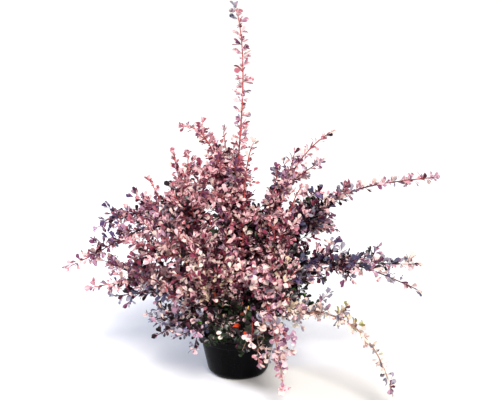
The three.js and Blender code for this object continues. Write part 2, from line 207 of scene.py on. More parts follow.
# Laterals follow their cane, and short sprouts stand on every stem and twig. near and far are their spacing
# in the crown's heart and at its open edge. A change is the most that a draw adds or takes away. A fork's
# colours start at fork_part of the cane's, and a twig's bark is fresher.
stem = Named(sides=6, step=9, tip_radius=1.25, extra_leaves=2, first_sprout=10, last_sprout=0.9)
twig = Named(sides=4, step=11, fresher=0.2, first_sprout=12, last_sprout=0.85)
lateral = Named(
    longest=150, shortest=54, change=0.3, near=16, far=60, opening=28, opening_change=8, lift=0.08,
    radius=1.4, tip_radius=0.8,
)
sprout = Named(
    longest=34, shortest=14, change=0.25, near=21, opening=50, opening_change=14, lift=0.3,
    radius=1.0, tip_radius=0.6,
)
shoots = Named(turn_spread=0.4, spacing_change=0.25)
first_lateral = 14
first_foot_sprout = 0.2
fork_part = 0.5

# Tufts of leaves stand at the nodes, further apart outside the crown's heart, and some have a spine. On a
# long shoot each tuft has a look of its own.
tufts = Named(turn_spread=0.3, spacing_change=0.2, further=1.15, end_gap=2, long_shoot=80)
spine = Named(length=7, length_change=0.3, radius=0.42, opening=80, share=0.45)
leaf = Named(
    length=21, length_change=4, width_change=0.09, fold=0.28, fold_change=0.16, droop=0.1, droop_change=0.12,
    shrink=0.1,
)

# How near a leaf's tip may come to the floor, the pot, its wall's inside and the soil, and how far past the
# solid model's box. Other leaves are left out.
leaf_margin = Named(floor=4, pot=2, wall=12, soil=3, box=12)


class Habit(NamedTuple):
    """How leaves stand: the angle that a tuft opens at, how many leaves it has, and their size and width.

    up, outward and stray are how far the leaves face each way, spacing is that of the nodes, and spread and
    lift are those of a tuft's leaves. sprouts is how far apart sprouts are at the crown's open edge.
    """
    sprouts: float
    opening: float
    opening_change: float
    width_part: float
    up: float
    outward: float
    stray: float = 0.5
    least: int = 3
    most: int = 4
    size: float = 1.0
    tip_size: float = 1.0
    spacing: float = 10
    spread: float = 0.4
    lift: float = 0.15


habits = {
    "full": Habit(sprouts=100, spacing=11.5, opening=64, opening_change=16, size=0.95, tip_size=0.95,
                  width_part=0.5, up=0.55, outward=0.35),
    "sprig": Habit(sprouts=70, spacing=9.5, opening=56, opening_change=16, most=5, spread=0.38, size=1.06,
                   width_part=0.48, up=0.5, outward=0.4),
    "arm": Habit(sprouts=55, opening=48, opening_change=18, most=5, size=1.08, tip_size=1.05,
                 width_part=0.46, up=0.5, outward=0.4),
    "broad": Habit(sprouts=45, opening=64, opening_change=18, spread=0.5, lift=0, tip_size=0.95,
                   width_part=0.6, up=0.3, outward=0.6, stray=0.45),
    "open": Habit(sprouts=150, opening=50, opening_change=14, least=2, lift=0.1, width_part=0.46, up=0.6,
                  outward=0.3),
    "spire": Habit(sprouts=500, spacing=8, opening=72, opening_change=14, least=4, most=6, spread=0.32,
                   lift=0.08, size=1.28, tip_size=0.92, width_part=0.4, up=0.6, outward=0.25),
}

# A leaf's rows from stalk to tip: the part of its length, and of its half width, at each.
leaf_rows = ((0.14, 0.09), (0.36, 0.36), (0.58, 0.80), (0.79, 1.0), (0.93, 0.72))

# Leaf colours, and how many of each a look has. A look is dealt out shoot by shoot.
# cream, shell and sand are pale tones that are partly the leaves' own cream mottling and partly painted
# sunlit highlight.
# night is a near-black tone whose leaves stand in for the shade between leaves and deep in the crown: painted
# shade. Most looks deal some out.
leaf_tones = {
    "rose": "#A35D6E", "coral": "#AF636A", "crimson": "#7C3149", "pink": "#C9929D", "blush": "#DCB6BC",
    "shell": "#E0C6C0", "cream": "#E2D7CB", "sand": "#CDB69C", "plum": "#6E4260", "mauve": "#A07A92",
    "violet": "#54466E", "slate": "#4E5168", "ash": "#8E8A99", "wine": "#43192A", "night": "#170E13",
    "pine": "#20301C", "green": "#46801F", "olive": "#8E8C50", "ember": "#C0401E", "amber": "#D9A441",
}
looks = {
    "rosy": dict(blush=12, pink=5, shell=7, cream=2, rose=6, coral=4, crimson=5, plum=2, mauve=2, wine=6,
                 night=9),
    "dusty": dict(blush=7, shell=5, pink=4, mauve=6, rose=4, plum=4, ash=4, violet=1, wine=2, night=1),
    "grey": dict(ash=5, mauve=4, shell=5, blush=3, cream=1, plum=3, slate=3, violet=2, rose=1, night=4),
    "crimson": dict(crimson=3, rose=4, coral=4, pink=7, blush=10, shell=4, plum=2, wine=2, night=1),
    "spire": dict(blush=6, shell=4, pink=4, mauve=4, rose=3, plum=2, ash=2, crimson=1),
    "plum": dict(plum=5, mauve=6, rose=3, blush=4, pink=3, violet=3, slate=2, wine=3, shell=1, night=1),
    "violet": dict(violet=4, slate=4, mauve=4, plum=3, ash=3, blush=2, night=2),
    # dusk is the look of shaded arms: its slate and night leaves are painted cool shade, beside the leaves'
    # own violet, wine, ash and mauve.
    "dusk": dict(slate=3, night=6, violet=2, wine=2, ash=3, mauve=2, blush=2, shell=1),
    "faded": dict(blush=5, pink=2, mauve=4, ash=3, plum=2, rose=2, shell=4, wine=1),
    # bright and straw, led by the pale tones, are partly painted sunlit highlight, and bright's many night
    # leaves are painted shade between them.
    "bright": dict(shell=8, cream=9, sand=5, blush=7, pink=3, rose=3, coral=1, crimson=5, wine=6, night=13),
    "shell": dict(blush=7, pink=2, shell=7, mauve=5, rose=2, ash=6, plum=2),
    "straw": dict(shell=5, cream=8, sand=2, ash=6, olive=1, mauve=2, wine=1),
    # shade and under are painted shade for leaves deep in the crown and over the pot: mostly night, beside
    # some of the leaves' own dark wine and pine.
    "shade": dict(night=9, wine=3, plum=1, crimson=1, pine=1, pink=0.7, blush=1, shell=1),
    "fern": dict(pine=9, night=4, green=4, olive=0.5, shell=1, blush=1),
    "under": dict(pine=6, night=9, wine=1, shell=1, cream=0.5, blush=0.8, green=0.2, ember=0.3, amber=0.1),
}
# The colour that leaves of each tone are splashed with, the share of leaves that are, and how much of them.
splashes = {
    "rose": "blush", "coral": "blush", "crimson": "rose", "pink": "shell", "blush": "rose", "shell": "pink",
    "cream": "blush", "sand": "rose", "plum": "rose", "mauve": "blush", "violet": "mauve", "slate": "violet",
    "ash": "slate", "wine": "plum", "night": "wine", "pine": "night", "green": "pine", "olive": "cream",
    "ember": "coral", "amber": "ember",
}
splashed_leaves = 0.5
splash_share = 0.24
# Most of a shoot's leaves have its main tone. A cane's outer look takes over from its inner one on the way.
main_tone_share = 0.55
outer_look = Named(start=0.3, fade=0.35)

stem_tones = {
    "old": "#22131A", "dusk": "#43222B", "red": "#7A2C2C", "coral": "#A84644", "peach": "#96705F",
}
# The stem's colours from its foot to its tip, for each outer look.
stem_looks = {
    "rosy": "old red coral", "dusty": "old red red", "crimson": "red coral coral", "spire": "red coral coral",
    "plum": "old dusk red", "violet": "old old dusk", "dusk": "old old dusk", "grey": "old dusk dusk",
    "faded": "old dusk red", "bright": "old red coral", "shell": "old coral peach",
    "straw": "red peach peach", "shade": "old old dusk", "under": "old old dusk", "fern": "old old dusk",
}

# Rounded zones. The crown's dense heart and the painted shade inside it are full up to one part of the way
# out and fade to none at another. Leaves in the dark hollow between the upright and the arching canes get
# painted shade, fading from its centre. Leaves in the dark foot over the pot get painted shade, with a
# blurred edge. Broad-leaved shoots below hanging_height hang in front of it.
crown = Named(centre=Vector((0, 0, 240)), reach=Vector((270, 175, 310)), full=0.75, none=1.25)
shade = Named(centre=Vector((15, 60, 240)), reach=Vector((290, 140, 310)), full=0.4, none=1.0)
hollow_shade = Named(centre=Vector((-65, -85, 428)), reach=Vector((120, 125, 52)))
foot = Named(centre=Vector((-2, -70, 150)), reach=Vector((103, 240, 112)), blur=0.1)
hanging_height = 140

# A patterned material has a noise between two colours, and its bump and roughness follow that. plain and
# even are its colour and roughness without them.
leaf_surface = Named(roughness=0.34, gloss=0.32)
stem_surface = Named(roughness=0.5, gloss=0.2)
# The pot's colour noise is stretched upright into faintly lighter streaks, a painted sheen. Its bump and
# roughness follow the same noise.
pot_plastic = Named(
    plain="#0B0C10", even=0.3, gloss=0.04, colours=("#010102", "#0A0B0E"), scale=12, stretch=(1, 1, 0.5),
    bump=0.12, depth=0.35, roughness=(0.2, 0.36),
)
compost = Named(
    plain="#2A1D14", even=0.95, gloss=0.5, colours=("#150E0A", "#4A3524"), scale=260, stretch=(1, 1, 1),
    bump=0.6, depth=1.2, roughness=(0.8, 1),
)
bark = Named(
    plain="#3A2428", even=0.85, gloss=0.5, colours=("#1F1216", "#5A3A34"), scale=220, stretch=(1, 1, 0.22),
    bump=0.7, depth=0.8, roughness=(0.65, 0.95),
)
pattern = Named(detail=6, roughness=0.6, first_colour_to=0.35, second_colour_from=0.68)

# The floor, just under the pot, the sky, a wide sun in front and a cool light behind the left. Places, aims
# and the cool light's size are in metres, and the sun's size is in degrees.
floor_plane = Named(half=40000, drop=0.2, colour="#E4E4E4", roughness=0.9, gloss=0.5)
sky_light = Named(colour="#F2F3F7", strength=0.45)
lights = {
    "key": Named(kind="SUN", colour="#FFF8F0", strength=5, place=(0.6, -3.2, 3.3), aim=(0, 0, 0.3), size=22),
    "edge": Named(kind="AREA", colour="#DCE6FF", strength=90, place=(-2.4, 1.2, 1.2), aim=(0, 0, 0.2),
                  size=1.2),
}


def lerp(start, end, part):
    return start + (end - start) * part


def clamp(value, low=0.0, high=1.0):
    return min(max(value, low), high)


def place(heading, out, height):
    """The point on a heading at a distance out from the pot's axis."""
    angle = radians(heading)
    return Vector((out * cos(angle), out * sin(angle), height))


def solid_random(seed):
    """The solid model's seeded run of numbers from 0 to 1."""
    word = 0xFFFFFFFF
    state = seed
    while True:
        state = (state + 0x6D2B79F5) & word
        mixed = (state ^ (state >> 15)) * (state | 1) & word
        mixed ^= (mixed + ((mixed ^ (mixed >> 7)) * (mixed | 61) & word)) & word
        yield (mixed ^ (mixed >> 14)) / (word + 1)


def blended(points, part):
    """A Bezier curve's point: its control points are blended in pairs until one is left."""
    while len(points) > 1:
        points = [a.lerp(b, part) for a, b in zip(points, points[1:])]
    return points[0]


class Curve:
    """A Bezier curve, which can be sampled as a line between two parts of its way."""
    length_steps = 200

    def __init__(self, *controls):
        self.controls = controls
        points = [self.point(i / self.length_steps) for i in range(self.length_steps + 1)]
        self.length = sum((b - a).length for a, b in zip(points, points[1:]))

    def point(self, part):
        return blended(self.controls, part)

    def direction(self, part):
        steps = [b - a for a, b in zip(self.controls, self.controls[1:])]
        return blended(steps, part).normalized()

    def line(self, start, end, heading, step):
        count = max(2, round(self.length * (end - start) / step))
        parts = [lerp(start, end, i / count) for i in range(count + 1)]
        return Line([self.point(part) for part in parts], [self.direction(part) for part in parts], heading)


class Spot(NamedTuple):
    """A point on a line, with the line's direction there and two directions across it."""
    point: Vector
    along: Vector
    sideways: Vector
    over: Vector


class Line:
    """Points with the direction at each. It tells the spot at a distance along it."""

    def __init__(self, points, directions, heading):
        self.points = points
        self.directions = directions
        self.level = place(heading + 90, 1, 0)
        self.marks = [0.0]
        for a, b in zip(points, points[1:]):
            self.marks.append(self.marks[-1] + (b - a).length)
        self.length = self.marks[-1]

    def across(self, along):
        sideways = (self.level - along * self.level.dot(along)).normalized()
        return sideways, along.cross(sideways)

    def at(self, distance):
        i = int(clamp(bisect_left(self.marks, distance), 1, len(self.points) - 1))
        part = (distance - self.marks[i - 1]) / (self.marks[i] - self.marks[i - 1])
        along = self.directions[i - 1].lerp(self.directions[i], part).normalized()
        return Spot(self.points[i - 1].lerp(self.points[i], part), along, *self.across(along))


def opened(spot, opening, turn):
    """The direction that opens from a spot's own by one angle, turned round it by another."""
    outward = spot.sideways * cos(turn) + spot.over * sin(turn)
    return spot.along * cos(opening) + outward * sin(opening)


class Bearer(NamedTuple):
    """A stem or fork: its curve, where it starts on that, its radius there, and the solid model's line."""
    curve: Curve
    start: float
    heading: float
    radius: float
    coarse: Line


class Bone:
    """A cane's curves and lines, as in the solid model."""

    def __init__(self, row, bough_part):
        self.row = row
        low = place(row.launch, *row.low)
        start = dome_centre + (low - dome_centre).normalized() * (stool.dome_radius + clearance)
        self.curve = Curve(start, low, place(row.heading, *row.high), place(row.heading, *row.tip))
        self.foot_radius = cane.foot_radius + cane.foot_radius_per_length * self.curve.length
        self.bough_part = bough_part
        self.bearers = [self.bearer(self.curve, bough_part, row.heading, self.radius_at(bough_part))]
        for fork in row.forks:
            radius = self.radius_at(fork.at) * cane.fork_radius_part
            self.bearers.append(self.bearer(self.fork_curve(fork), 0, fork.heading, radius))

    def radius_at(self, part):
        return lerp(self.foot_radius, cane.tip_radius, part)

    def fork_curve(self, fork):
        start = self.curve.point(fork.at)
        end = place(fork.heading, *fork.tip)
        swing = self.curve.direction(fork.at) * (end - start).length * cane.fork_swing
        return Curve(start, start + swing, end)

    def bearer(self, curve, start, heading, radius):
        end = 1 - solid_leaf.length * self.row.small / curve.length
        coarse = curve.line(start, end, heading, cane.step)
        if start > 0:
            coarse.points[0] += coarse.directions[0] * clearance
            coarse = Line(coarse.points, coarse.directions, heading)
        return Bearer(curve, start, heading, radius, coarse)


def skip_leaf_draws(length, draws):
    """Leaves out the draws that the solid model makes for the large leaves along a line."""
    next(draws)
    distance = solid_leaf.spacing / 2
    while distance < length - solid_leaf.spacing / 4:
        next(draws)
        next(draws)
        distance += solid_leaf.spacing


def side_twigs(row, bearer, draws):
    """The solid model's side twigs on a bearer: each one's part of the way along it, and its shoot."""
    line = bearer.coarse
    skip_leaf_draws(line.length, draws)
    twigs = []
    hand = 1
    distance = side.first
    while distance < line.length * row.twiggy:
        spot = line.at(distance)
        length = lerp(side.longest, side.shortest, distance / line.length)
        turn = pi / 2 + hand * radians(lerp(side.turn_least, side.turn_most, next(draws)))
        shoot = short_shoot(spot, length, radians(side.opening), turn, side.lift)
        skip_leaf_draws((shoot[-1] - spot.point).length, draws)
        twigs.append((distance / line.length, shoot))
        hand = -hand
        distance += side.spacing
    return twigs


def short_shoot(spot, length, opening, turn, lift):
    """A shoot that opens from a spot and then lifts: its direction at its start, its middle and its tip."""
    start = opened(spot, opening, turn)
    end = (start + UP * lift).normalized()
    middle = spot.point + start * length / 2
    return start, middle, middle + end * length / 2


def part_out(point, zone):
    """0 at a rounded zone's centre, 1 at its edge, and more beyond."""
    offset = point - zone.centre
    return Vector(a / b for a, b in zip(offset, zone.reach)).length


def faded(point, zone):
    """0 where a zone is no longer full, 1 where there is none of it, and less or more beyond."""
    return (part_out(point, zone) - zone.full) / (zone.none - zone.full)


def openness(point):
    """0 in the crown's dense heart, rising to 1 at its open edge."""
    return clamp(faded(point, crown))


class Meshes:
    """Points and triangles gathered into one mesh, with a tone for each triangle."""

    def __init__(self):
        self.points = []
        self.triangles = []
        self.tones = []
        self.count = 0

    def add(self, points, triangles, tones):
        self.points.append(points)
        self.triangles.append(triangles + self.count)
        self.tones.extend(tones)
        self.count += len(points)

    def tube(self, line, radii, sides, tones):
        """A round limb along a line, closed at both ends. tones has one for each stretch of the line."""
        centres = np.array(line.points)
        frames = np.array([line.across(direction) for direction in line.directions])
        angles = (np.arange(sides) * 2 * np.pi / sides)[None, :, None]
        outward = np.cos(angles) * frames[:, None, 0] + np.sin(angles) * frames[:, None, 1]
        rings = centres[:, None] + np.asarray(radii)[:, None, None] * outward
        around = np.arange(sides)
        beside = (around + 1) % sides
        starts = np.arange(len(centres) - 1)[:, None] * sides
        corner = starts + around
        turned = starts + beside
        wall = np.stack([
            np.stack([corner, turned, turned + sides], axis=-1),
            np.stack([corner, turned + sides, corner + sides], axis=-1),
        ], axis=2).reshape(-1, 3)
        first_centre = len(centres) * sides
        last = first_centre - sides
        caps = np.concatenate([
            np.stack([beside, around, np.full(sides, first_centre)], axis=-1),
            np.stack([around + last, beside + last, np.full(sides, first_centre + 1)], axis=-1),
        ])
        points = np.concatenate([rings.reshape(-1, 3), centres[[0, -1]]])
        wall_tones = [tone for tone in tones for _ in range(sides * 2)]
        self.add(points, np.concatenate([wall, caps]), wall_tones + [tones[0]] * sides + [tones[-1]] * sides)

    def cone(self, root, along, length, radius, tone):
        """A three-sided spine."""
        sideways = along.orthogonal().normalized()
        over = along.cross(sideways)
        angles = [i * 2 * pi / 3 for i in range(3)]
        points = [root + (sideways * cos(a) + over * sin(a)) * radius for a in angles]
        points.append(root + along * length)
        triangles = np.array([(0, 1, 3), (1, 2, 3), (2, 0, 3), (2, 1, 0)])
        self.add(np.array(points), triangles, [tone] * len(triangles))

    def joined(self):
        return np.concatenate(self.points), np.concatenate(self.triangles)

    def made(self, name, finishes):
        return mesh_object(name, *self.joined(), finishes, self.tones)


def linked(name, data):
    item = bpy.data.objects.new(name, data)
    bpy.context.collection.objects.link(item)
    return item


def mesh_object(name, points, triangles, finishes, tones=None):
    """A smooth mesh from points in millimetres. Its finishes are one material, or one for each tone."""
    mesh = bpy.data.meshes.new(name)
    mesh.from_pydata((np.asarray(points) * MM).tolist(), [], np.asarray(triangles).tolist())
    mesh.shade_smooth()
    if tones is None:
        mesh.materials.append(finishes)
    else:
        names, indices = np.unique(np.array(tones), return_inverse=True)
        for tone in names:
            mesh.materials.append(finishes[str(tone)])
        mesh.polygons.foreach_set("material_index", indices.astype(np.int32))
    mesh.update()
    return linked(name, mesh)


class Leaves:
    """The leaves of one cane, made into one mesh. Each is a row of numbers, and a tone with its splash.

    A row is where its root is, which way it points and faces, and its length, width, fold and droop.
    """

    def __init__(self):
        self.rows = []
        self.tones = []

    def kept(self, low, high):
        """Only leaves that lie off the floor and the pot, between two corners."""
        rows = np.array(self.rows)
        tips = rows[:, 0:3] + rows[:, 3:6] * rows[:, 9:10]
        height = tips[:, 2]
        out = np.hypot(tips[:, 0], tips[:, 1])
        off_floor = height > leaf_margin.floor
        inside = np.all((tips > low) & (tips < high), axis=1)
        over_rim = height > pot.height + leaf_margin.pot
        beside_rim = (out > pot.rim_radius + leaf_margin.pot) | (out < pot.rim_radius - leaf_margin.wall)
        off_soil = (out > pot.rim_radius) | (height > soil.top + leaf_margin.soil)
        keep = off_floor & inside & (over_rim | beside_rim) & off_soil
        return rows[keep], [tones for tones, kept in zip(self.tones, keep) if kept]

    def made(self, name, finishes, seed, low, high):
        rows, tones = self.kept(low, high)
        roots, along, face = rows[:, 0:3], rows[:, 3:6], rows[:, 6:9]
        length, width, fold, droop = rows[:, 9:].T[:, :, None, None]
        across = np.cross(face, along)
        reach, breadth, triangles, cells = leaf_blade()
        half = breadth[None, :, None] * width / 2
        points = (roots[:, None] + along[:, None] * reach[None, :, None] * length
                  + across[:, None] * half
                  + face[:, None] * (fold * np.abs(half) - droop * reach[None, :, None] ** 2 * length))
        count = len(rows)
        shifted = triangles[None] + (np.arange(count) * len(reach))[:, None, None]
        chance = np.random.default_rng(seed).random((count, cells.max() + 1))
        splashed = chance[:, cells] < splash_share
        body = np.array([pair[0] for pair in tones])[:, None]
        splash = np.array([pair[1] for pair in tones])[:, None]
        dealt = np.where(splashed, splash, body).ravel()
        return mesh_object(name, points.reshape(-1, 3), shifted.reshape(-1, 3), finishes, dealt)


def leaf_blade():
    """A leaf's points, as parts of its length and half width, with its triangles and the cell of each."""
    reach = [0.0]
    breadth = [0.0]
    for part, wide in leaf_rows:
        reach += [part] * 3
        breadth += [-wide, 0.0, wide]
    reach.append(1.0)
    breadth.append(0.0)
    tip = len(reach) - 1
    triangles = [(0, 2, 3), (0, 1, 2)]
    cells = [0, 0]
    for row in range(len(leaf_rows) - 1):
        left, middle, right = 1 + row * 3, 2 + row * 3, 3 + row * 3
        triangles += [(left, left + 3, middle + 3), (left, middle + 3, middle)]
        triangles += [(middle, middle + 3, right + 3), (middle, right + 3, right)]
        cells += [1 + row * 2] * 2 + [2 + row * 2] * 2
    triangles += [(tip - 3, tip, tip - 2), (tip - 2, tip, tip - 1)]
    cells += [cells[-1] + 1] * 2
    return np.array(reach), np.array(breadth), np.array(triangles), np.array(cells)


def weighted(look, draws):
    """One of a look's tones, drawn by how many of each it has."""
    return draws.choices(list(look), weights=list(look.values()))[0]


def clear(tip):
    """Whether a shoot's tip is off the floor, the pot and the stool."""
    over_pot = tip.z > pot.height + pot_margin or tip.xy.length > pot.rim_radius + pot_margin
    return tip.z > floor_margin and over_pot and (tip - dome_centre).length > stool.dome_radius + pot_margin


class Growth:
    """The finer growth of one cane: its stems, twigs and sprouts, with their leaves and spines.

    A shoot's parts are how far along its cane it starts and ends, from 0 to 1. They choose its colours.
    """

    def __init__(self, bone, seed, stems, spines):
        self.bone = bone
        self.row = bone.row
        self.habit = habits[bone.row.habit]
        self.draws = random.Random(seed)
        self.stems = stems
        self.spines = spines
        self.leaves = Leaves()
        self.stem_look = stem_looks[self.row.look[1]].split()

    def change(self, most):
        return self.draws.uniform(-most, most)

    def stray(self, spread):
        return Vector([self.draws.gauss(0, spread) for _ in range(3)])

    def spray(self, point, part):
        """The look and main tone of a shoot's leaves: the cane's own in the light, and dark looks of painted
        shade inside the crown, in the hollow and over the pot.
        """
        # Painted shade: in the foot zone over the pot leaves take the dark under look, and inside the shade
        # and hollow zones the dark shade look.
        low = part_out(point, foot) < 1 + self.draws.gauss(0, foot.blur)
        hanging = self.row.habit == "broad" and point.z < hanging_height
        if low and not hanging:
            look = looks["under"]
        elif self.draws.random() > min(faded(point, shade), part_out(point, hollow_shade)):
            look = looks["shade"]
        else:
            outer = clamp((part - outer_look.start) / outer_look.fade)
            look = looks[self.row.look[0] if self.draws.random() > outer else self.row.look[1]]
        return look, weighted(look, self.draws)

    def leaf(self, root, along, size, look, main):
        draws = self.draws
        tone = main if draws.random() < main_tone_share else weighted(look, draws)
        splash = splashes[tone] if draws.random() < splashed_leaves else tone
        outward = Vector((root.x, root.y, 0)).normalized()
        facing = UP * self.habit.up + outward * self.habit.outward + self.stray(self.habit.stray)
        face = (facing - along * facing.dot(along)).normalized()
        length = (leaf.length + self.change(leaf.length_change)) * size
        width = length * (self.habit.width_part + self.change(leaf.width_change))
        fold = leaf.fold + self.change(leaf.fold_change)
        droop = leaf.droop + self.change(leaf.droop_change)
        self.leaves.rows.append((*root, *along, *face, length, width, fold, droop))
        self.leaves.tones.append((tone, splash))

    def tuft(self, spot, axis, count, size, look, main):
        for i in range(count):
            along = (axis + self.stray(self.habit.spread) + UP * self.habit.lift).normalized()
            self.leaf(spot.point, along, size * (1 - leaf.shrink * i), look, main)

    def leafy(self, line, parts, end_leaves, further):
        """Tufts of leaves at the nodes of a shoot, with spines under some, and a tuft at its end."""
        habit = self.habit
        look, main = self.spray(line.points[-1], parts[1])
        turn = self.draws.uniform(0, 2 * pi)
        distance = habit.spacing / 2
        while distance < line.length - tufts.end_gap:
            spot = line.at(distance)
            part = distance / line.length
            axis = opened(spot, radians(habit.opening + self.change(habit.opening_change)), turn)
            if line.length > tufts.long_shoot:
                look, main = self.spray(spot.point, lerp(*parts, part))
            size = habit.size * lerp(1, habit.tip_size, part)
            self.tuft(spot, axis, self.draws.randint(habit.least, habit.most), size, look, main)
            if self.draws.random() < spine.share:
                away = opened(spot, radians(spine.opening), turn + pi)
                length = spine.length * (1 + self.change(spine.length_change))
                self.spines.cone(spot.point, away, length, spine.radius, self.stem_look[-1])
            turn += GOLDEN_TURN + self.draws.gauss(0, tufts.turn_spread)
            spacing = habit.spacing * lerp(1, further, openness(spot.point))
            distance += spacing * (1 + self.change(tufts.spacing_change))
        end = line.at(line.length)
        self.tuft(end, end.along, end_leaves, habit.size * habit.tip_size, look, main)

    def limb(self, line, radius, tip_radius, sides, parts):
        """The tube of a stem, twig or sprout."""
        marks = [mark / line.length for mark in line.marks]
        radii = [lerp(radius, tip_radius, mark) for mark in marks]
        middles = [(a + b) / 2 for a, b in zip(marks, marks[1:])]
        stretch = len(self.stem_look) - 1
        tones = [self.stem_look[round(clamp(lerp(*parts, middle)) * stretch)] for middle in middles]
        self.stems.tube(line, radii, sides, tones)

    def leafy_twig(self, spot, shoot, kind, part):
        """A side twig, lateral or sprout from a spot, where shoot says. All but sprouts have sprouts."""
        start, middle, tip = shoot
        if not clear(tip):
            return
        heading = degrees(atan2(start.y, start.x))
        line = Curve(spot.point, middle, tip).line(0, 1, heading, twig.step)
        bark_part = part + twig.fresher
        self.limb(line, kind.radius, kind.tip_radius, twig.sides, (bark_part, bark_part))
        end_leaves = self.habit.least if kind is sprout else self.habit.most
        self.leafy(line, (part, part), end_leaves, tufts.further)
        if kind is not sprout:
            self.side_shoots(line, sprout, twig.first_sprout, twig.last_sprout, (part, part))

    def side_shoots(self, line, kind, first, last_part, parts):
        """Shoots all round a line, shorter towards its end and further apart outside the crown's heart."""
        turn = self.draws.uniform(0, 2 * pi)
        distance = first
        while distance < line.length * last_part:
            spot = line.at(distance)
            open_part = openness(spot.point)
            shortness = max(distance / line.length, open_part)
            length = lerp(kind.longest, kind.shortest, shortness) * (1 + self.change(kind.change))
            if kind is lateral:
                length *= self.row.bushy
            opening = radians(kind.opening + self.change(kind.opening_change))
            shoot = short_shoot(spot, length, opening, turn, kind.lift)
            self.leafy_twig(spot, shoot, kind, lerp(*parts, distance / line.length))
            turn += GOLDEN_TURN + self.draws.gauss(0, shoots.turn_spread)
            far = lateral.far if kind is lateral else self.habit.sprouts
            distance += lerp(kind.near, far, open_part) * (1 + self.change(shoots.spacing_change))

    def grow(self, solid_draws):
        """Grows all of the cane: its stem and forks, then the sprouts on its woody foot."""
        row = self.row
        for number, bearer in enumerate(self.bone.bearers):
            last = 1 - leaf.length * self.habit.size * self.habit.tip_size / bearer.curve.length
            line = bearer.curve.line(bearer.start, last, bearer.heading, stem.step)
            parts = (bearer.start if number == 0 else fork_part, 1)
            self.limb(line, bearer.radius, stem.tip_radius, stem.sides, parts)
            self.leafy(line, parts, self.habit.most + stem.extra_leaves, 1)
            self.side_shoots(line, sprout, stem.first_sprout, stem.last_sprout, parts)
            self.side_shoots(line, lateral, first_lateral, row.twiggy, parts)
            for part, shoot in side_twigs(row, bearer, solid_draws):
                self.leafy_twig(line.at(part * line.length), shoot, side, lerp(*parts, part))
        if self.bone.bough_part:
            line = self.bone.curve.line(0, self.bone.bough_part, row.heading, stem.step)
            self.side_shoots(line, sprout, line.length * first_foot_sprout, 1, (0, 0))


def linear(colour):
    """The linear RGBA of a colour written as #RRGGBB."""
    parts = [int(colour[i:i + 2], 16) / 255 for i in (1, 3, 5)]
    return (*[p / 12.92 if p <= 0.04045 else ((p + 0.055) / 1.055) ** 2.4 for p in parts], 1)


def principled(name, colour, roughness, gloss):
    """A plain material, with its shader."""
    material = bpy.data.materials.new(name)
    material.use_nodes = True
    shader = material.node_tree.nodes["Principled BSDF"]
    shader.inputs["Base Color"].default_value = linear(colour)
    shader.inputs["Roughness"].default_value = roughness
    shader.inputs["Specular IOR Level"].default_value = gloss
    return material, shader


def plain_finishes(prefix, tones, surface):
    """A material for each tone, all with one kind of surface."""
    return {
        tone: principled(f"{prefix}_{tone}", colour, surface.roughness, surface.gloss)[0]
        for tone, colour in tones.items()
    }


def patterned(name, finish):
    """A material with a noise pattern between two colours, which its bump and roughness follow."""
    material, shader = principled(name, finish.plain, finish.even, finish.gloss)
    tree = material.node_tree

    def node(kind, **values):
        made = tree.nodes.new(kind)
        for socket, value in values.items():
            made.inputs[socket.replace("_", " ")].default_value = value
        return made

    spot = node("ShaderNodeTexCoord")
    mapping = node("ShaderNodeMapping", Scale=finish.stretch)
    detail = pattern.detail
    mottle = node("ShaderNodeTexNoise", Scale=finish.scale, Detail=detail, Roughness=pattern.roughness)
    ramp = node("ShaderNodeValToRGB")
    positions = (pattern.first_colour_to, pattern.second_colour_from)
    for element, position, colour in zip(ramp.color_ramp.elements, positions, finish.colours):
        element.position = position
        element.color = linear(colour)
    least, most = finish.roughness
    spread = node("ShaderNodeMapRange", To_Min=least, To_Max=most)
    relief = node("ShaderNodeBump", Strength=finish.bump, Distance=finish.depth * MM)
    for source, output, target, socket in (
        (spot, "Object", mapping, "Vector"), (mapping, "Vector", mottle, "Vector"),
        (mottle, "Fac", ramp, "Fac"), (ramp, "Color", shader, "Base Color"),
        (mottle, "Fac", spread, "Value"), (spread, "Result", shader, "Roughness"),
        (mottle, "Fac", relief, "Height"), (relief, "Normal", shader, "Normal"),
    ):
        tree.links.new(source.outputs[output], target.inputs[socket])
    return material


def arc(x, y, radius, start, end, steps):
    """Points on a circle round a centre, from one angle in degrees to another."""
    angles = [radians(lerp(start, end, i / steps)) for i in range(steps + 1)]
    return [(x + radius * cos(angle), y + radius * sin(angle)) for angle in angles]


def lathe(profile, sides):
    """Points and triangles of a profile turned about the upright axis. It starts and ends on the axis."""
    angles = [i * 2 * pi / sides for i in range(sides)]
    points = []
    starts = []
    for x, z in profile:
        starts.append(len(points))
        if x == 0:
            points.append((0, 0, z))
        else:
            points += [(x * cos(angle), x * sin(angle), z) for angle in angles]
    triangles = []
    for row, (low, high) in enumerate(zip(starts, starts[1:])):
        for i in range(sides):
            j = (i + 1) % sides
            if profile[row][0] == 0:
                triangles.append((low, high + j, high + i))
            elif profile[row + 1][0] == 0:
                triangles.append((low + i, low + j, high))
            else:
                triangles += [(low + i, low + j, high + j), (low + i, high + j, high + i)]
    return np.array(points, dtype=float), np.array(triangles)


def pot_corner(inset):
    """The rounded corner between the pot's floor and its wall, on its outside or set in."""
    radius = pot.corner_radius - inset
    return arc(pot.flat_radius, pot.corner_radius, radius, -90, -pot.wall_slope, pot.corner_steps)


def bends(x, z, offsets):
    return [(x + out, z + up) for out, up in offsets]


